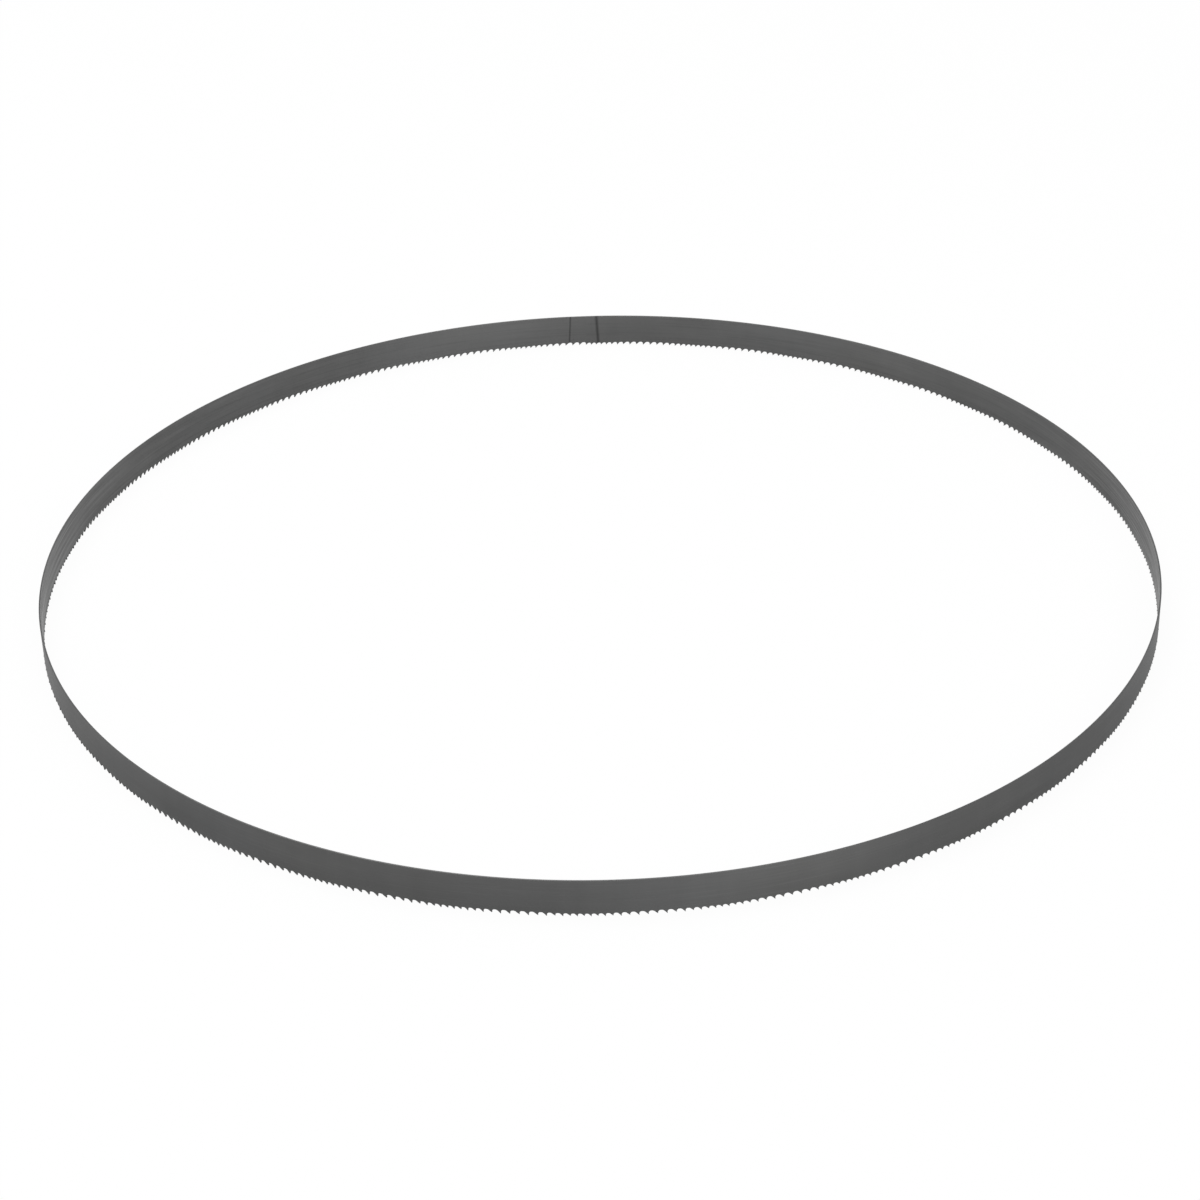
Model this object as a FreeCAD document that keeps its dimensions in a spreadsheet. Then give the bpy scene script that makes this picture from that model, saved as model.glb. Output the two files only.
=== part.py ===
import FreeCAD, Part
import Sketcher
import math
import os
from FreeCAD import Placement, Rotation, Vector

# The endless blade of a portable band saw: one strip of spring steel with teeth along one edge,
# bent into a ring and butt welded. Frame: +Z is the ring's axis, the tooth tips stand on z = 0,
# the smooth back edge is up, and the origin is on the axis. Seen from above, the blade cuts
# counter-clockwise: each tooth has its rake face on that side.
#
# The strip is laid out straight first. A place on it is its distance along the middle line from
# the weld, and that distance divided by the ring's radius is an angle. The stretch of strip that
# carries one tooth is a flat link, mitred to the next link at the foot of the next tooth's flank.

# name, size in millimetres or degrees or a count, what it is
SIZES = (
    ("loop_length", 1140.0, "length of the strip round the closed loop"),
    ("band_width", 12.0, "tooth tips to back edge"),
    ("band_thickness", 0.5, "thickness of the strip"),
    ("mean_pitch", 2.257, "mean spacing of the tooth tips"),
    ("pitch_swing", 0.37, "how far the spacing swings to each side of its mean"),
    ("teeth_in_cycle", 17, "teeth after which the spacing repeats"),
    ("coarsest_tooth", 1.3, "where in the cycle the spacing is widest, in teeth from its start"),
    ("gullet_depth", 1.03, "tip to gullet floor, for a tooth of mean pitch"),
    ("rake_height", 0.55, "straight rake face above the tip, where the set bend is too"),
    ("floor_start", 0.3, "rake face to the start of the gullet floor"),
    ("floor_end", 1.15, "rake face to the foot of the next tooth's flank"),
    ("set_per_side", 0.13, "sideways lean of a set tooth's tip"),
    ("first_foot", 0.55, "weld to the foot of the first flank after it"),
    ("weld_length", 10.5, "stretch of strip that is ground down over the butt weld"),
    ("weld_relief", 0.03, "metal ground off each face over the weld"),
    ("weld_azimuth", 91.2, "where the weld lies round the ring, from +X"),
    ("cutter_overrun", 1.0, "how far a gullet cutter runs past the tips and past each face"),
)

UP = Vector(0, 0, 1)
# turns a drawing's X, Y and normal to the tangent, +Z and the radius at azimuth 0
DRAWING_TO_WALL = Rotation(Vector(1, 1, 1), 120)

doc = FreeCAD.newDocument("band_saw_blade")
sheet = doc.addObject("Spreadsheet::Sheet", "Sizes")
for row, (name, value, meaning) in enumerate(SIZES, start=1):
    sheet.set(f"A{row}", name)
    sheet.set(f"B{row}", str(value))
    sheet.set(f"C{row}", meaning)
    sheet.setAlias(f"B{row}", name)
doc.recompute()


def size(name):
    """A driving size, read from the sheet."""
    return float(sheet.get(name))


radius = size("loop_length") / (2 * math.pi)


def azimuth(distance):
    """The angle round the ring, in radians, of a place on the strip."""
    return math.radians(size("weld_azimuth")) + distance / radius


def strip_cycles():
    """The tooth spacings from the weld round to the weld again, as one list for each cycle.

    The spacing goes from coarse through fine and back as a smooth wave, and the weld cuts the
    last cycle short. All spacings share one small factor, which closes the loop.
    """
    count = int(size("teeth_in_cycle"))
    phases = [2 * math.pi * (k - size("coarsest_tooth")) / count for k in range(count)]
    cycle = [size("mean_pitch") + size("pitch_swing") * math.cos(phase) for phase in phases]
    tooth_count = round(size("loop_length") / size("mean_pitch"))
    whole, rest = divmod(tooth_count, count)
    cycles = [cycle] * whole + [cycle[:rest]] * (rest > 0)
    closing = size("loop_length") / sum(map(sum, cycles))
    return [[pitch * closing for pitch in pitches] for pitches in cycles]


def lean_side(k):
    """Which way the k-th tooth of a cycle is set. The first is a straight raker, and the others
    lean inwards and outwards in turn."""
    if k == 0:
        return 0
    return -1 if k % 2 else 1


def gullet_sketch():
    """The gullet in front of a tooth of mean pitch. X runs along the strip from that tooth's tip
    to the next one, and Y runs from the tips towards the back edge."""
    sketch = doc.addObject("Sketcher::SketchObject", "gullet_outline")
    overrun = size("cutter_overrun")
    flank_slope = size("gullet_depth") / (size("mean_pitch") - size("floor_end"))
    corners = [
        Vector(0, -overrun, 0),
        Vector(0, size("rake_height"), 0),
        Vector(size("floor_start"), size("gullet_depth"), 0),
        Vector(size("floor_end"), size("gullet_depth"), 0),
        Vector(size("mean_pitch") + overrun / flank_slope, -overrun, 0),
    ]
    for start, end in zip(corners, corners[1:] + corners[:1]):
        sketch.addGeometry(Part.LineSegment(start, end), False)
    rake, corner, floor, flank, base = range(len(corners))
    next_tip = sketch.addGeometry(Part.Point(Vector(size("mean_pitch"), 0, 0)), True)

    def constrain(*terms):
        return sketch.addConstraint(Sketcher.Constraint(*terms))

    # geometry -1 is the sketch's X axis and origin, -2 its Y axis; point 1 is a line's start
    for line in range(len(corners)):
        constrain("Coincident", line, 2, (line + 1) % len(corners), 1)
    constrain("PointOnObject", rake, 1, -2)
    constrain("Vertical", rake)
    constrain("Horizontal", floor)
    constrain("Horizontal", base)
    constrain("PointOnObject", next_tip, 1, -1)
    constrain("PointOnObject", next_tip, 1, flank)
    driven = (
        ("DistanceY", rake, 1, -1, 1, "cutter_overrun"),
        ("DistanceY", -1, 1, rake, 2, "rake_height"),
        ("DistanceX", -1, 1, corner, 2, "floor_start"),
        ("DistanceY", -1, 1, corner, 2, "gullet_depth"),
        ("DistanceX", -1, 1, floor, 2, "floor_end"),
        ("DistanceX", -1, 1, next_tip, 1, "mean_pitch"),
    )
    for *terms, name in driven:
        index = constrain(*terms, size(name))
        sketch.setExpression(f"Constraints[{index}]", f"Sizes.{name}")
    return sketch


def strip_section(thickness, lean, bend_height):
    """Corners of the strip's cross-section as radius and height. It runs on past the tips by half
    the cutter's overrun, and below the bend a set tooth leans so that its tip is off by the set."""
    inner = radius - thickness / 2
    outer = radius + thickness / 2
    uncut = size("cutter_overrun") / 2
    shift = lean * size("set_per_side") * (bend_height + uncut) / bend_height
    back = [(inner, size("band_width")), (outer, size("band_width"))]
    edge = [(outer + shift, -uncut), (inner + shift, -uncut)]
    if lean:
        return back + [(outer, bend_height)] + edge + [(inner, bend_height)]
    return back + edge


def link(section, start, end):
    """The flat piece of strip between two mitres, which are the radial planes at two angles."""

    def corners(angle):
        return [Vector(r * math.cos(angle), r * math.sin(angle), height) for r, height in section]

    near = corners(start)
    far = corners(end)
    rings = [near, far]
    for k in range(len(section)):
        rings.append([near[k], near[k - 1], far[k - 1], far[k]])
    faces = [Part.Face(Part.makePolygon(ring + ring[:1])) for ring in rings]
    return Part.Solid(Part.Shell(faces))


def gullet_cutter(outline, scale, angle):
    """The sketch, scaled to its tooth, with the foot of the flank at this angle, cut through the
    strip along the radius there."""
    wall_reach = size("band_thickness") / 2 + size("set_per_side") + size("cutter_overrun")
    wire = outline.copy()
    wire.scale(scale)
    wire.translate(Vector(-scale * size("floor_end"), 0, radius - wall_reach))
    wire.Placement = Placement(Vector(), DRAWING_TO_WALL).multiply(wire.Placement)
    wire.rotate(Vector(), UP, math.degrees(angle))
    outwards = Vector(math.cos(angle), math.sin(angle), 0)
    return Part.Face(wire).extrude(outwards * 2 * wall_reach)


def toothed_stretch(outline, pitches, following_pitch, start):
    """One cycle of links with their teeth cut. It starts at this distance, where a flank ends.
    Grinding the weld flat also takes the set off the teeth there."""
    scales = [pitch / size("mean_pitch") for pitch in pitches + [following_pitch]]
    tip = start - size("floor_end") * scales[0]
    feet = []
    for pitch, scale in zip(pitches + [following_pitch], scales):
        feet.append(tip + size("floor_end") * scale)
        tip += pitch
    links = []
    for k, (foot, next_foot) in enumerate(zip(feet, feet[1:])):
        middle = (foot + next_foot) / 2
        from_weld = min(middle, size("loop_length") - middle)
        thickness = size("band_thickness")
        lean = lean_side(k)
        if from_weld < size("weld_length") / 2:
            thickness -= 2 * size("weld_relief")
            lean = 0
        section = strip_section(thickness, lean, scales[k + 1] * size("rake_height"))
        links.append(link(section, azimuth(foot), azimuth(next_foot)))
    cutters = [gullet_cutter(outline, *at) for at in zip(scales, map(azimuth, feet))]
    return links[0].multiFuse(links[1:]).cut(cutters)


def add_stretch(name, shape, turn):
    """One cycle as an object of the document, turned round the axis by an angle."""
    stretch = doc.addObject("Part::Feature", name)
    stretch.Shape = shape
    stretch.Placement = Placement(Vector(), Rotation(UP, math.degrees(turn)))
    return stretch


outline = gullet_sketch()
doc.recompute()
gullet_wire = outline.Shape.Wires[0]

cycles = strip_cycles()
cycle_length = sum(cycles[0])
first_pitch = cycles[0][0]
start = size("first_foot")
last = len(cycles) - 1
at_weld_start = toothed_stretch(gullet_wire, cycles[0], first_pitch, start)
repeated = toothed_stretch(gullet_wire, cycles[1], first_pitch, start + cycle_length)
at_weld_end = toothed_stretch(gullet_wire, cycles[last], first_pitch, start + last * cycle_length)

stretches = [add_stretch("first_cycle", at_weld_start, 0)]
for index in range(1, last):
    turn = (index - 1) * cycle_length / radius
    stretches.append(add_stretch(f"cycle_{index + 1:02d}", repeated, turn))
stretches.append(add_stretch("last_cycle", at_weld_end, 0))

saw_band = doc.addObject("Part::MultiFuse", "saw_band")
saw_band.Shapes = stretches
saw_band.Refine = False
saw_band.Label = "saw_band"
doc.recompute()

for thing in doc.Objects:
    if "Invalid" in thing.State or "Error" in thing.State:
        raise RuntimeError(f"{thing.Label} did not compute: {thing.State}")

shape = saw_band.Shape
if shape.isNull() or not shape.isValid() or len(shape.Solids) != 1:
    raise RuntimeError("saw_band is not one valid solid")

os.makedirs("parts", exist_ok=True)
shape.Solids[0].exportStep(f"parts/{saw_band.Label}.step")
box = shape.BoundBox
print(f"{sum(map(len, cycles))} teeth, {len(shape.Faces)} faces, {shape.Volume:.1f} mm3")
print(f"box {box.XLength:.2f} x {box.YLength:.2f} x {box.ZLength:.3f}, lowest {box.ZMin:.4f}")
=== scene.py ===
# %% [markdown]
# # The blade of a portable band saw
#
# The real blade is a narrow strip of spring steel with small teeth milled into one edge. Its two
# ends are butt welded, so it is an endless loop, and it stands here on its tooth tips.
#
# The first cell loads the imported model. It is the frame that everything below is built in: metres,
# +Z up, the ring's axis through the origin, and the tooth tips on z = 0.

# %% Load the frame
import math

import bmesh
import bpy
from mathutils import Matrix, Vector


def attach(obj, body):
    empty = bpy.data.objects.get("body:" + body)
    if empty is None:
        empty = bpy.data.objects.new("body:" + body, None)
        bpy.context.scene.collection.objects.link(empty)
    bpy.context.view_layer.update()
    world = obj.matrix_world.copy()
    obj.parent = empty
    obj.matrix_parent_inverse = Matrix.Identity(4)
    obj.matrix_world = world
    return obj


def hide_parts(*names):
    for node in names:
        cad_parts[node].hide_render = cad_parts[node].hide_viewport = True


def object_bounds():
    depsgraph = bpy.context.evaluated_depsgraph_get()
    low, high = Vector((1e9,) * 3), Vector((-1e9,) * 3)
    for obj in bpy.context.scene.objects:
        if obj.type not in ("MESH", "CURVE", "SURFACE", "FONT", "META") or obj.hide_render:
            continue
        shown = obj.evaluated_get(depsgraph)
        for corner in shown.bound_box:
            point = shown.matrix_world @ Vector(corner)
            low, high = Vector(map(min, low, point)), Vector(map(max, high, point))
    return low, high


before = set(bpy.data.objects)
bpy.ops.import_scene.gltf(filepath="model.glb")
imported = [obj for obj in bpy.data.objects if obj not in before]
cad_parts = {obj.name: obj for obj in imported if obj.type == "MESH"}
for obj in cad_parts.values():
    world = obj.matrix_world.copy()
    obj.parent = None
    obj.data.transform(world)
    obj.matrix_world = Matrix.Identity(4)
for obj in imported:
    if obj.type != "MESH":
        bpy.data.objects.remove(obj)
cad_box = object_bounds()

scene = bpy.context.scene
scene.view_settings.view_transform = "Standard"
print("box of the packed model:", cad_box)

# %% [markdown]
# ## Sizes
#
# These are the sizes of the real blade. Blender works in metres, so each one is written in
# millimetres and multiplied once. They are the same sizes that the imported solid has, and this is
# what lets the finer mesh below take its place without any fitting.

# %% Name the sizes
MM = 0.001
LOOP_LENGTH = 1140 * MM
BAND_WIDTH = 12.0 * MM
BAND_THICKNESS = 0.5 * MM
GULLET_DEPTH = 1.03 * MM
RAKE_HEIGHT = 0.55 * MM
FLOOR_START = 0.3 * MM
FLOOR_END = 1.15 * MM
SET_PER_SIDE = 0.13 * MM
FIRST_FOOT = 0.55 * MM
WELD_LENGTH = 10.5 * MM
WELD_RELIEF = 0.03 * MM
WELD_AZIMUTH = math.radians(91.2)
RADIUS = LOOP_LENGTH / math.tau
print(f"ring radius {RADIUS / MM:.2f} mm")

# %% [markdown]
# ## Where the teeth stand
#
# The teeth of this blade aren't evenly spaced. The spacing swings from coarse to fine and back
# over 17 teeth, because even teeth would make the saw hum and chatter. A cosine gives that swing.
# The weld cuts the last cycle short, and one small factor on all spacings closes the loop.
#
# The teeth are also set, so that the cut is wider than the strip and the blade doesn't bind. The
# first tooth of each cycle is a raker: it stands straight and clears the middle of the cut. The
# other sixteen lean inwards and outwards in turn. The photograph shows this in the tips, which hang
# a little lower and higher by turns. Over the weld the grinding has taken the set off.

# %% Work out the tooth spacing
MEAN_PITCH = 2.257 * MM
PITCH_SWING = 0.37 * MM
TEETH_IN_CYCLE = 17
COARSEST_TOOTH = 1.3

tooth_count = round(LOOP_LENGTH / MEAN_PITCH)
places = [index % TEETH_IN_CYCLE for index in range(tooth_count)]
swings = [math.cos(math.tau * (place - COARSEST_TOOTH) / TEETH_IN_CYCLE) for place in places]
pitches = [MEAN_PITCH + PITCH_SWING * swing for swing in swings]
closing = LOOP_LENGTH / sum(pitches)
pitches = [pitch * closing for pitch in pitches]
scales = [pitch / MEAN_PITCH for pitch in pitches]
first_tip = FIRST_FOOT - FLOOR_END * scales[0]
print(f"{tooth_count} teeth, {min(pitches) / MM:.2f} to {max(pitches) / MM:.2f} mm apart")

# %% [markdown]
# ## The camera
#
# The photograph looks down on the ring at about 30 degrees with a fairly long lens. The ring's
# outline and the row of teeth together settle the distance, the height and the lens, and also a
# small roll: the right side of the picture is a little higher. The camera looks at a point just
# under the ring's middle, so no lens shift is needed. Blender wants the lens and the sensor in
# millimetres, as photographers name them.

# %% Place the camera
CAMERA_PLACE = Vector((0, -821.47, 481.37)) * MM
CAMERA_TARGET = Vector((-0.069, 0, -6.466)) * MM
CAMERA_ROLL = math.radians(-1.4256)
LENS = 86.53
SENSOR_WIDTH = 36

camera_data = bpy.data.cameras.new("camera")
camera_data.lens = LENS
camera_data.sensor_width = SENSOR_WIDTH
camera = bpy.data.objects.new("camera", camera_data)
scene.collection.objects.link(camera)
line_of_sight = CAMERA_TARGET - CAMERA_PLACE
look = line_of_sight.to_track_quat("-Z", "Y").to_matrix().to_4x4()
roll = Matrix.Rotation(CAMERA_ROLL, 4, "Z")
camera.matrix_world = Matrix.Translation(CAMERA_PLACE) @ look @ roll
scene.camera = camera
print(f"camera {line_of_sight.length:.3f} m from the ring's middle")

# %% [markdown]
# ## One gullet
#
# The space between two teeth is called a gullet. Each one is milled with the same form of cutter:
# a straight rake face on the tooth behind it, a rounded root that curls the chip, a short floor,
# and a straight flank that runs down to the next tip.
#
# An array of boolean cuts would make it, but 505 cuts in a thin strip are slow and leave untidy
# faces. It is simpler to draw the stretch of strip from one tip to the next once, as a flat face,
# and to round the root with a vertex bevel. X runs along the strip, Y will point outwards and Z
# points to the back edge. One edge is added where the set bend will be, and one above the gullet,
# so that the upper part of each stretch is a plain four-sided face.

# %% Draw one stretch of the strip
ROOT_ROUNDING = 0.24 * MM
FOOT_ROUNDING = 0.3 * MM
ROUNDING_STEPS = 3
GULLET_LINE = 1.5 * MM

bend_share = RAKE_HEIGHT / GULLET_DEPTH
bend_on_flank = MEAN_PITCH + (FLOOR_END - MEAN_PITCH) * bend_share
outline = {
    "rake_top": (0, RAKE_HEIGHT),
    "root": (FLOOR_START, GULLET_DEPTH),
    "foot": (FLOOR_END, GULLET_DEPTH),
    "bend_on_flank": (bend_on_flank, RAKE_HEIGHT),
    "next_tip": (MEAN_PITCH, 0),
    "next_rake_top": (MEAN_PITCH, RAKE_HEIGHT),
    "next_line": (MEAN_PITCH, GULLET_LINE),
    "next_back": (MEAN_PITCH, BAND_WIDTH),
    "back": (0, BAND_WIDTH),
    "line": (0, GULLET_LINE),
}
stretch = bmesh.new()
corner = {name: stretch.verts.new((x, 0, z)) for name, (x, z) in outline.items()}
stretch.faces.new(corner.values())
bmesh.ops.connect_verts(stretch, verts=[corner["bend_on_flank"], corner["next_rake_top"]])
bmesh.ops.connect_verts(stretch, verts=[corner["line"], corner["next_line"]])
for name, rounding in (("root", ROOT_ROUNDING), ("foot", FOOT_ROUNDING)):
    bmesh.ops.bevel(stretch, geom=[corner[name]], offset=rounding, offset_type="OFFSET",
                    affect="VERTICES", segments=ROUNDING_STEPS, profile=0.5, material=-1)
stretch_mesh = bpy.data.meshes.new("stretch")
stretch.to_mesh(stretch_mesh)
stretch.free()
print(f"one stretch: {len(stretch_mesh.vertices)} corners, {len(stretch_mesh.polygons)} faces")

# %% [markdown]
# ## The whole strip, laid out flat
#
# The stretch is now added once for each tooth. The gullet grows with the spacing, because a wider
# pitch is milled deeper, so each copy is scaled along the strip and in depth, while the back edge
# stays where it is. The corners over the next tip take the next gullet's scale, so that neighbours
# share their corners and merging them leaves no gap. The tip itself is moved sideways by the set.
# A place is tested against almost the full pitch or width, because a rounding error may cut it
# short.

# %% Add a stretch for each tooth
ALMOST = 0.999
MERGE_DISTANCE = 0.002 * MM


def lean_side(place, tip):
    """Which way a tooth is set: 1 outwards, -1 inwards, 0 for a raker or a tooth on the weld."""
    on_weld = min(tip, LOOP_LENGTH - tip) < WELD_LENGTH / 2
    if place == 0 or on_weld:
        return 0
    return -1 if place % 2 else 1


strip = bmesh.new()
tip = first_tip
for index, (pitch, scale) in enumerate(zip(pitches, scales)):
    next_scale = scales[(index + 1) % tooth_count]
    lean = lean_side(places[index], tip + pitch)
    added = len(strip.verts)
    strip.from_mesh(stretch_mesh)
    strip.verts.ensure_lookup_table()
    for vert in strip.verts[added:]:
        over_next_tip = vert.co.x > ALMOST * MEAN_PITCH
        if vert.co.z == 0:
            vert.co.y = lean * SET_PER_SIDE
        elif vert.co.z < ALMOST * BAND_WIDTH:
            vert.co.z *= next_scale if over_next_tip else scale
        vert.co.x = tip + (pitch if over_next_tip else vert.co.x * scale)
    tip += pitch
bmesh.ops.remove_doubles(strip, verts=strip.verts, dist=MERGE_DISTANCE)
last_tip = tip
print(f"flat strip: {len(strip.faces)} faces, {(last_tip - first_tip) / MM:.1f} mm long")

# %% [markdown]
# ## The ground patch over the weld
#
# After welding, the bead is ground off both faces over about 10 mm, which leaves the strip there
# a touch thinner. Four cuts across the strip give that patch its edges, each with a short ramp.
# Then the flat sheet is extruded to the strip's thickness. Extruding keeps the teeth's set,
# because it moves both faces alike, and a solidify would fatten the leaning tips.

# %% Give the strip its thickness
WELD_RAMP = 0.3 * MM

patch_end = WELD_LENGTH / 2
for cut in (patch_end - WELD_RAMP, patch_end):
    for x in (cut, LOOP_LENGTH - cut):
        everything = strip.verts[:] + strip.edges[:] + strip.faces[:]
        bmesh.ops.bisect_plane(strip, geom=everything, plane_co=(x, 0, 0), plane_no=(1, 0, 0))
inner = strip.verts[:]
extruded = bmesh.ops.extrude_face_region(strip, geom=strip.faces[:])["geom"]
outer = [item for item in extruded if isinstance(item, bmesh.types.BMVert)]
bmesh.ops.translate(strip, verts=inner, vec=(0, -BAND_THICKNESS / 2, 0))
bmesh.ops.translate(strip, verts=outer, vec=(0, BAND_THICKNESS / 2, 0))


def relief(x):
    """How much metal the grinding took off one face, at a distance along the strip."""
    distance = min(abs(x), abs(LOOP_LENGTH - x))
    return WELD_RELIEF * min(max((patch_end - distance) / WELD_RAMP, 0), 1)


for vert in outer:
    vert.co.y -= relief(vert.co.x)
for vert in inner:
    vert.co.y += relief(vert.co.x)
bmesh.ops.recalc_face_normals(strip, faces=strip.faces)
print(f"with thickness: {len(strip.faces)} faces")

# %% [markdown]
# ## The back edge, and which edges look sharp
#
# The back edge rides on the saw's guides, so the maker breaks its two corners. A bevel of a tenth
# of a millimetre does that, and it also catches the light as a thin line.
#
# All faces are shaded smooth, so that the ring looks round. Edges where the surface really turns
# a corner are marked sharp: the rims of the gullets, and the bend at the foot of a set tooth. That
# bend is slight, so between two faces of one side, whose normals point along Y, a smaller angle
# counts as a corner.

# %% Round the back edge and mark the sharp edges
BACK_ROUNDING = 0.09 * MM
BACK_ROUNDING_STEPS = 2
BEND_LIMIT = math.radians(5)
CORNER_LIMIT = math.radians(50)
WIDE_FACE_NORMAL = 0.8


def is_back_corner(edge):
    """Whether an edge runs along the strip at one of the back edge's two corners."""
    start, end = (vert.co for vert in edge.verts)
    on_back = min(start.z, end.z) > ALMOST * BAND_WIDTH
    return on_back and abs(start.x - end.x) > abs(start.y - end.y)


back_corners = [edge for edge in strip.edges if is_back_corner(edge)]
bmesh.ops.bevel(strip, geom=back_corners, offset=BACK_ROUNDING, offset_type="OFFSET",
                affect="EDGES", segments=BACK_ROUNDING_STEPS, profile=0.5, material=-1)
strip.normal_update()
for edge in strip.edges:
    on_wide_face = all(abs(face.normal.y) > WIDE_FACE_NORMAL for face in edge.link_faces)
    edge.smooth = edge.calc_face_angle(0) < (BEND_LIMIT if on_wide_face else CORNER_LIMIT)
for face in strip.faces:
    face.smooth = True
sharp_edges = sum(not edge.smooth for edge in strip.edges)
print(f"{len(back_corners)} back edges rounded, {sharp_edges} sharp edges")

# %% [markdown]
# ## A map of the strip
#
# Rolling and grinding leave marks that follow the strip, not the room, so the finish needs to know
# where it is on the strip. This is the moment to note it, while the strip is still flat: U is the
# distance along it and V the height, both in metres. The outer face, the rims and the inner face
# get their own bands of V, one band width apart, so that no mark shows on both faces.

# %% Map the flat strip
strip_map = strip.loops.layers.uv.new("strip")
for face in strip.faces:
    band_start = (1 - face.normal.y) * BAND_WIDTH
    for loop in face.loops:
        x, y, z = loop.vert.co
        loop[strip_map].uv = (x, band_start + z + y)
print("strip mapped, in metres")

# %% [markdown]
# ## Bending the strip into the ring
#
# A Simple Deform or a curve could bend the strip, but the sum is short: the distance along the
# strip becomes an angle, and the distance from its middle is added to the radius. The two end
# faces come off first, so that the ends meet in one row of corners and the weld closes. Bending
# mirrors the mesh, so the normals are worked out again once the ring is closed.
#
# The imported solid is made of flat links, which lie up to 5 microns inside the true circle. The
# ring is bent that much smaller, so that the finer mesh stays inside the solid's box.
#
# Extruding numbered the new rims in an order that changes from run to run. The faces are sorted
# first, by a sum that differs from face to face, so that each run gives the very same mesh.

# %% Bend and close the ring
LINK_DEPTH = 0.005 * MM


def is_end_face(face):
    """Whether a face closes one end of the strip. The rake face of the last tooth isn't one."""
    distances = [vert.co.x for vert in face.verts]
    at_end = all(min(abs(x - first_tip), abs(x - last_tip)) < MERGE_DISTANCE for x in distances)
    return at_end and min(vert.co.z for vert in face.verts) > RAKE_HEIGHT / 2


strip.faces.sort(key=lambda face: sum(face.calc_center_median()))
ends = [face for face in strip.faces if is_end_face(face)]
bmesh.ops.delete(strip, geom=ends, context="FACES")
for vert in strip.verts:
    angle = WELD_AZIMUTH + vert.co.x / RADIUS
    reach = RADIUS - LINK_DEPTH + vert.co.y
    vert.co = (reach * math.cos(angle), reach * math.sin(angle), vert.co.z)
bmesh.ops.remove_doubles(strip, verts=strip.verts, dist=MERGE_DISTANCE)
bmesh.ops.recalc_face_normals(strip, faces=strip.faces)
open_edges = sum(not edge.is_manifold for edge in strip.edges)
volume = strip.calc_volume(signed=True) / MM ** 3

band_mesh = bpy.data.meshes.new("toothed_band")
strip.to_mesh(band_mesh)
strip.free()
band = bpy.data.objects.new("toothed_band", band_mesh)
scene.collection.objects.link(band)
print(f"ring: {len(band_mesh.polygons)} faces, {volume:.0f} mm3, {open_edges} open edges")

# %% [markdown]
# ## Colour and nodes
#
# Two small helpers. Colours are written as a screen shows them, in hex, and Blender's shaders want
# them linear. The second one adds a node with its settings and its inputs, which are either plain
# values or the outputs of earlier nodes.

# %% Colour and node helpers
def linear(hex_colour):
    """An sRGB hex colour as linear red, green, blue and alpha."""
    channels = [int(hex_colour[i:i + 2], 16) / 255 for i in (1, 3, 5)]
    curve = [c / 12.92 if c <= 0.04045 else ((c + 0.055) / 1.055) ** 2.4 for c in channels]
    return (*curve, 1)


def add_node(material, kind, inputs=None, **settings):
    """Adds a node of a kind to a material or world, sets it up and links its inputs."""
    node = material.node_tree.nodes.new(kind)
    for name, value in settings.items():
        setattr(node, name, value)
    for name, value in (inputs or {}).items():
        if isinstance(value, bpy.types.NodeSocket):
            material.node_tree.links.new(value, node.inputs[name])
        else:
            node.inputs[name].default_value = value
    return node


# the Mix node has a set of sockets for each kind of value, and these are the colour ones
COLOUR_A, COLOUR_B, COLOUR_OUT = 6, 7, 2
print("white is", linear("#FFFFFF")[:3])

# %% [markdown]
# ## The finish of the strip: cold-rolled spring steel, hardened and tempered
#
# The strip is cold rolled, which leaves fine streaks along it. Hardening and tempering then give
# it a thin dark grey oxide: still a metal, but dull, with soft broad reflections. Patches of it
# are a trace warmer or bluer, where the temper colour came out differently.
#
# The oxide is a metal shader with a dark grey colour and a high roughness. The streaks stretch a
# noise along U. Rolled streaks are about 0.02 mm wide, too fine to show from here, so they are
# drawn 0.5 mm wide. A broad noise gives the cloudy patches. It is placed in the room, not on the
# strip, and it is squeezed in height, so that the patches are longer than they are high. A noise
# that only changes along U gives the soft bars across the strip that the heat treatment leaves.
#
# Most values of a noise lie between 0.3 and 0.7, and the cells below stretch that span to the
# range that each use wants.

# %% Start the steel: coordinates and noises
NOISE_LOW, NOISE_HIGH = 0.3, 0.7

steel = bpy.data.materials.new("tempered_spring_steel")
steel.use_nodes = True
steel.node_tree.nodes.clear()

strip_place = add_node(steel, "ShaderNodeUVMap", uv_map="strip").outputs["UV"]
split = add_node(steel, "ShaderNodeSeparateXYZ", {0: strip_place})
along, across = split.outputs["X"], split.outputs["Y"]
in_room = add_node(steel, "ShaderNodeTexCoord").outputs["Object"]

STREAK_LENGTH = 40 * MM
STREAK_WIDTH = 0.5 * MM
streak_scale = (1 / STREAK_LENGTH, 1 / STREAK_WIDTH, 1)
streak_place = add_node(steel, "ShaderNodeMapping", {"Vector": strip_place, "Scale": streak_scale})
streaks = add_node(steel, "ShaderNodeTexNoise", {
    "Vector": streak_place.outputs[0], "Scale": 1, "Detail": 3, "Roughness": 0.55,
}, noise_dimensions="2D").outputs["Fac"]

CLOUD_LENGTH = 45 * MM
CLOUD_HEIGHT = 9 * MM
CLOUD_LOW, CLOUD_HIGH = 0.25, 0.75
cloud_scale = (1 / CLOUD_LENGTH, 1 / CLOUD_LENGTH, 1 / CLOUD_HEIGHT)
cloud_place = add_node(steel, "ShaderNodeMapping", {"Vector": in_room, "Scale": cloud_scale})
clouds = add_node(steel, "ShaderNodeTexNoise", {
    "Vector": cloud_place.outputs[0], "Scale": 1, "Detail": 3, "Roughness": 0.55,
}).outputs["Fac"]

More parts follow.
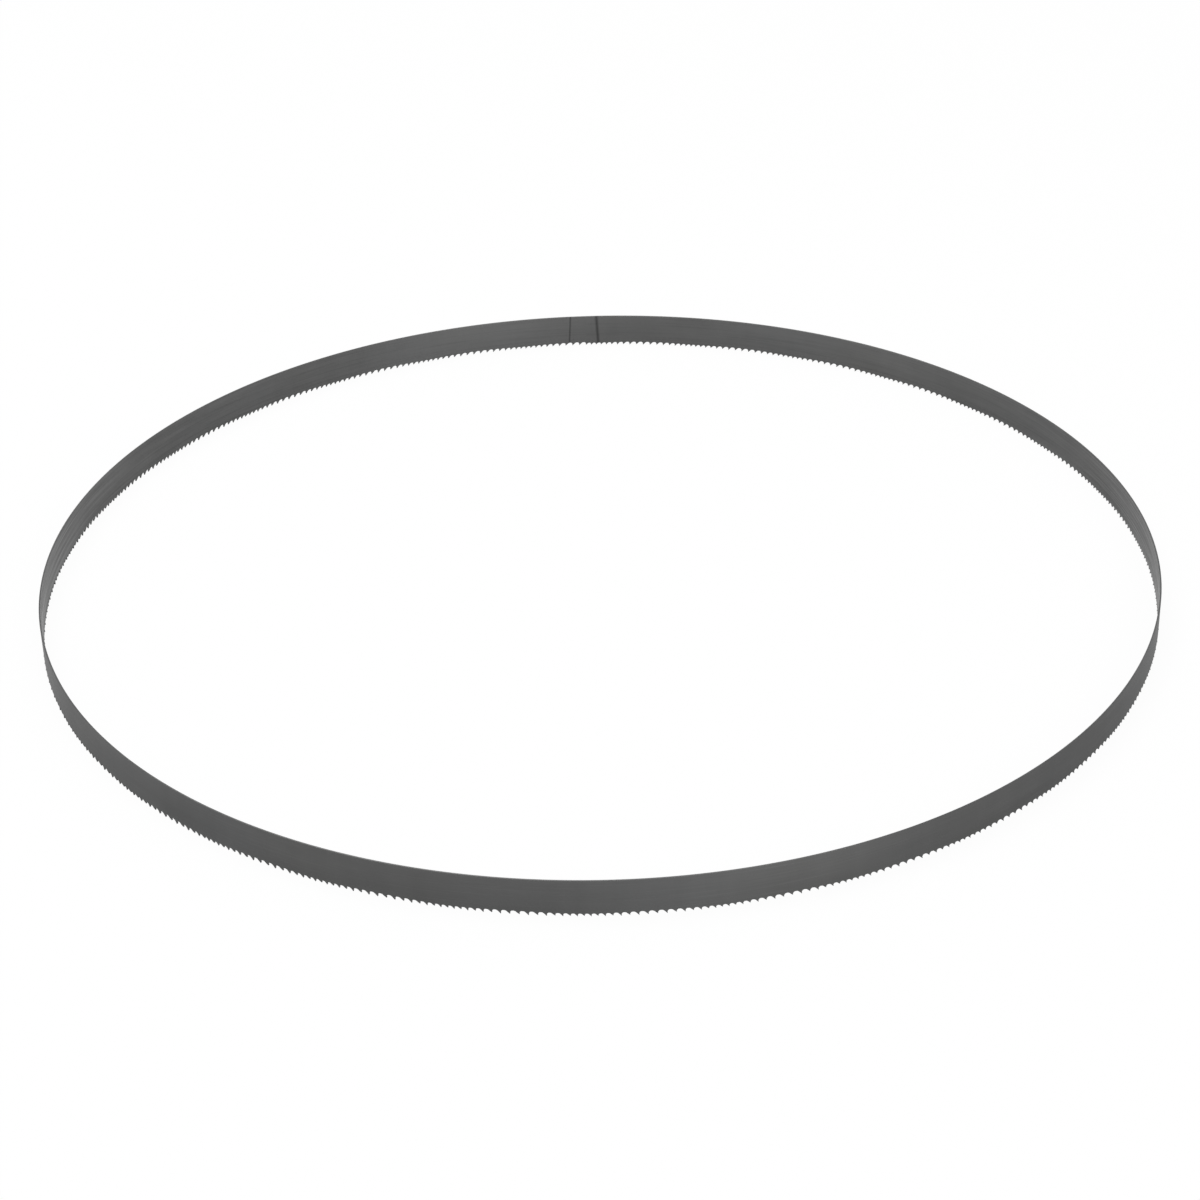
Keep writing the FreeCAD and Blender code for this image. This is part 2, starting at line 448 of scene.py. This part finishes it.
BAR_LENGTH = 7 * MM
bar_place = add_node(steel, "ShaderNodeMath", {0: along, 1: BAR_LENGTH}, operation="DIVIDE")
bars = add_node(steel, "ShaderNodeTexNoise", {
    "W": bar_place.outputs[0], "Scale": 1, "Detail": 2, "Roughness": 0.5,
}, noise_dimensions="1D").outputs["Fac"]
print(steel.name, "started with", len(steel.node_tree.nodes), "nodes")

# %% [markdown]
# ### Colour of the oxide
#
# The cloudy patches run between two greys that are close together, because the real strip is even.
# A second noise leans the grey a trace warmer in some places and bluer in others. The tint's share
# is small: more of it would make the strip look painted.

# %% Mix the colour
dark_oxide, light_oxide = linear("#616161"), linear("#686868")
warm_oxide, cool_oxide = linear("#67645A"), linear("#5A6167")

cloud_share = add_node(steel, "ShaderNodeMapRange", {
    "Value": clouds, "From Min": CLOUD_LOW, "From Max": CLOUD_HIGH,
})
greys = add_node(steel, "ShaderNodeMix", {
    0: cloud_share.outputs[0], COLOUR_A: dark_oxide, COLOUR_B: light_oxide,
}, data_type="RGBA")

TINT_SIZE = 45 * MM
TINT_SHARE = 0.1
tint_noise = add_node(steel, "ShaderNodeTexNoise", {
    "Vector": in_room, "Scale": 1 / TINT_SIZE, "Detail": 1, "Roughness": 0.5,
})
tints = add_node(steel, "ShaderNodeMix", {
    0: tint_noise.outputs["Fac"], COLOUR_A: warm_oxide, COLOUR_B: cool_oxide,
}, data_type="RGBA")
tinted = add_node(steel, "ShaderNodeMix", {
    0: TINT_SHARE, COLOUR_A: greys.outputs[COLOUR_OUT], COLOUR_B: tints.outputs[COLOUR_OUT],
}, data_type="RGBA").outputs[COLOUR_OUT]
print("greys and tints mixed")

# %% [markdown]
# ### Light and dark
#
# One factor lightens or darkens the colour at each place. Towards the teeth the strip is painted a
# little darker. This is painted shade, for the floor's faint shadow that the lower part reflects.
# The bars and the streaks change it by a few percent.
#
# The two faces differ a little. The outer one has the paler oxide, and further down it is made the
# duller one too. V tells them apart: it is under one band width on the outer face and over two on
# the inner face. The rims lie in between, so they fade from one to the other.

# %% Shade the colour
PAINTED_SHADE_AT_TIPS, PAINTED_SHADE_AT_BACK = 0.88, 1.04
BAR_CONTRAST = 0.015
STREAK_CONTRAST = 0.05
OUTER_SHADE = 1.23

height = add_node(steel, "ShaderNodeSeparateXYZ", {0: in_room}).outputs["Z"]
# painted shade: the colour darkens towards the teeth, for the floor's shadow reflected in the lower
# strip
shade = add_node(steel, "ShaderNodeMapRange", {
    "Value": height, "From Min": 0, "From Max": BAND_WIDTH,
    "To Min": PAINTED_SHADE_AT_TIPS, "To Max": PAINTED_SHADE_AT_BACK,
}).outputs[0]
bar_shade = add_node(steel, "ShaderNodeMapRange", {
    "Value": bars, "From Min": NOISE_LOW, "From Max": NOISE_HIGH,
    "To Min": 1 - BAR_CONTRAST, "To Max": 1 + BAR_CONTRAST,
}).outputs[0]
streak_shade = add_node(steel, "ShaderNodeMapRange", {
    "Value": streaks, "From Min": NOISE_LOW, "From Max": NOISE_HIGH,
    "To Min": 1 - STREAK_CONTRAST, "To Max": 1 + STREAK_CONTRAST,
}).outputs[0]
face_shade = add_node(steel, "ShaderNodeMapRange", {
    "Value": across, "From Min": BAND_WIDTH, "From Max": 2 * BAND_WIDTH,
    "To Min": OUTER_SHADE, "To Max": 1,
}).outputs[0]
for factor in (bar_shade, streak_shade, face_shade):
    shade = add_node(steel, "ShaderNodeMath", {
        0: shade, 1: factor,
    }, operation="MULTIPLY").outputs[0]
# the oxide colour times all the factors, among them the painted shade towards the teeth
oxide = add_node(steel, "ShaderNodeVectorMath", {
    0: tinted, "Scale": shade,
}, operation="SCALE").outputs[0]
print("oxide colour shaded")

# %% [markdown]
# ### The weld
#
# The ground patch over the weld ends in two dark lines across the strip, where the wheel stopped.
# One is narrow and one is wide, and they stand a little further apart at the teeth than at the
# back edge. U runs round the whole loop, so a wrap turns it into the distance from the weld, which
# is negative on one side and positive on the other.

# %% Draw the weld
NARROW_LINE = 1.1 * MM
WIDE_LINE = 1.9 * MM
LINE_LEAN = 0.3 * MM
LINE_SHADE = 0.5

from_weld = add_node(steel, "ShaderNodeMath", {
    0: along, 1: LOOP_LENGTH / 2, 2: -LOOP_LENGTH / 2,
}, operation="WRAP").outputs[0]


def weld_line(at_tips, at_back, width):
    """Falls from 1 in the middle of a line across the strip to 0 at its edges."""
    place = add_node(steel, "ShaderNodeMapRange", {
        "Value": height, "From Min": 0, "From Max": BAND_WIDTH,
        "To Min": at_tips, "To Max": at_back,
    })
    offset = add_node(steel, "ShaderNodeMath", {
        0: from_weld, 1: place.outputs[0],
    }, operation="SUBTRACT")
    distance = add_node(steel, "ShaderNodeMath", {0: offset.outputs[0]}, operation="ABSOLUTE")
    return add_node(steel, "ShaderNodeMapRange", {
        "Value": distance.outputs[0], "From Min": 0, "From Max": width / 2,
        "To Min": 1, "To Max": 0,
    }, interpolation_type="SMOOTHSTEP").outputs[0]


narrow_line = weld_line(patch_end + LINE_LEAN, patch_end - LINE_LEAN, NARROW_LINE)
wide_line = weld_line(-patch_end - LINE_LEAN, -patch_end + LINE_LEAN, WIDE_LINE)
lines = add_node(steel, "ShaderNodeMath", {
    0: narrow_line, 1: wide_line,
}, operation="MAXIMUM").outputs[0]
line_shade = add_node(steel, "ShaderNodeMapRange", {
    "Value": lines, "From Min": 0, "From Max": 1, "To Min": 1, "To Max": LINE_SHADE,
}).outputs[0]
finish = add_node(steel, "ShaderNodeVectorMath", {
    0: oxide, "Scale": line_shade,
}, operation="SCALE").outputs[0]
print("weld drawn")

# %% [markdown]
# ### Shader
#
# Metal keeps the default IOR, and its colour is what it reflects. The same streaks drive the
# roughness and a very small bump. The outer face is duller by a fixed step, so it brightens less
# than the inner one where the ring turns away and is seen at a flat angle.
#
# Rolling leaves a grain along the strip, and a grain spreads what it reflects to its sides. The
# tangent follows U, the anisotropy says how strong the grain is, and a quarter turn lays the spread
# across the strip.

# %% Shade the steel
GLOSSIEST, DULLEST = 0.34, 0.62
OUTER_DULLNESS = 0.3
STREAK_DEPTH = 0.02 * MM
GRAIN_STRENGTH = 0.85
QUARTER_TURN = 0.25

streak_roughness = add_node(steel, "ShaderNodeMapRange", {
    "Value": streaks, "From Min": NOISE_LOW, "From Max": NOISE_HIGH,
    "To Min": GLOSSIEST, "To Max": DULLEST,
})
face_roughness = add_node(steel, "ShaderNodeMapRange", {
    "Value": across, "From Min": BAND_WIDTH, "From Max": 2 * BAND_WIDTH,
    "To Min": OUTER_DULLNESS, "To Max": 0,
})
roughness = add_node(steel, "ShaderNodeMath", {
    0: streak_roughness.outputs[0], 1: face_roughness.outputs[0],
}, operation="ADD")
bump = add_node(steel, "ShaderNodeBump", {
    "Height": streaks, "Strength": 0.15, "Distance": STREAK_DEPTH,
})
grain = add_node(steel, "ShaderNodeTangent", direction_type="UV_MAP", uv_map="strip")
shader = add_node(steel, "ShaderNodeBsdfPrincipled", {
    "Base Color": finish,
    "Metallic": 1.0,
    "Roughness": roughness.outputs[0],
    "Anisotropic": GRAIN_STRENGTH,
    "Anisotropic Rotation": QUARTER_TURN,
    "Tangent": grain.outputs[0],
    "Normal": bump.outputs[0],
})
add_node(steel, "ShaderNodeOutputMaterial", {"Surface": shader.outputs[0]})
band_mesh.materials.append(steel)
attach(band, "root")
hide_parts("saw_band")
print(steel.name, "finished with", len(steel.node_tree.nodes), "nodes")

# %% [markdown]
# ## The floor
#
# The photograph has a pure white ground. More light would turn any floor white, and the blade with
# it. Instead, for the camera and for reflections, most of this floor is an even white glow of
# strength 1. The rest of it is matte paper, which still shows the blade's faint shadow.

# %% Lay the floor
FLOOR_SIZE = 12.0
FLOOR_GAP = 0.02 * MM
FLOOR_WHITE = 0.95

floor_bm = bmesh.new()
bmesh.ops.create_grid(floor_bm, x_segments=1, y_segments=1, size=FLOOR_SIZE / 2)
floor_mesh = bpy.data.meshes.new("floor")
floor_bm.to_mesh(floor_mesh)
floor_bm.free()
floor = bpy.data.objects.new("floor", floor_mesh)
scene.collection.objects.link(floor)
floor.location.z = cad_box[0][2] - FLOOR_GAP


def seen(material):
    """1 for rays that show the stage to the camera, directly or through metal and glass."""
    path = add_node(material, "ShaderNodeLightPath")
    views = [path.outputs[f"Is {kind} Ray"] for kind in ("Camera", "Glossy", "Transmission")]
    either = add_node(material, "ShaderNodeMath", {
        0: views[0], 1: views[1],
    }, operation="MAXIMUM")
    return add_node(material, "ShaderNodeMath", {
        0: either.outputs[0], 1: views[2],
    }, operation="MAXIMUM").outputs[0]


paper = bpy.data.materials.new("white_paper_ground")
paper.use_nodes = True
paper.node_tree.nodes.clear()
glow_share = add_node(paper, "ShaderNodeMath", {
    0: seen(paper), 1: FLOOR_WHITE,
}, operation="MULTIPLY")
matte = add_node(paper, "ShaderNodeBsdfDiffuse", {"Color": linear("#F2F2F2")})
glow = add_node(paper, "ShaderNodeEmission", {"Color": linear("#FFFFFF"), "Strength": 1.0})
ground = add_node(paper, "ShaderNodeMixShader", {
    0: glow_share.outputs[0], 1: matte.outputs[0], 2: glow.outputs[0],
})
add_node(paper, "ShaderNodeOutputMaterial", {"Surface": ground.outputs[0]})
floor_mesh.materials.append(paper)
print(paper.name, "laid")

# %% [markdown]
# ## The light
#
# The light is soft: a surround, and two large lamps overhead and in front. The surround follows
# the same rule as the floor. It is plain white where it is seen or reflected, and half as strong
# where it lights something matte, which here is the floor alone.

# %% Add the surround and the lamps
SURROUND_LIGHT = 0.5

surround = bpy.data.worlds.new("white_surround")
surround.use_nodes = True
surround.node_tree.nodes.clear()
surround_strength = add_node(surround, "ShaderNodeMapRange", {
    "Value": seen(surround), "To Min": SURROUND_LIGHT, "To Max": 1.0,
})
sky = add_node(surround, "ShaderNodeBackground", {
    "Color": linear("#FFFFFF"), "Strength": surround_strength.outputs[0],
})
add_node(surround, "ShaderNodeOutputWorld", {"Surface": sky.outputs[0]})
scene.world = surround


def add_lamp(name, place, width, watts):
    """A square soft lamp, aimed at the ring's middle."""
    data = bpy.data.lights.new(name, "AREA")
    data.size = width
    data.energy = watts
    lamp = bpy.data.objects.new(name, data)
    scene.collection.objects.link(lamp)
    aim = (-Vector(place)).to_track_quat("-Z", "Y").to_matrix().to_4x4()
    lamp.matrix_world = Matrix.Translation(place) @ aim
    return lamp


lamps = [
    add_lamp("lamp_above", place=(-0.5, 0.2, 2.0), width=1.6, watts=26),
    add_lamp("lamp_front", place=(0.9, -1.6, 1.3), width=1.2, watts=12),
]
print("stage ready,", len(lamps), "lamps")
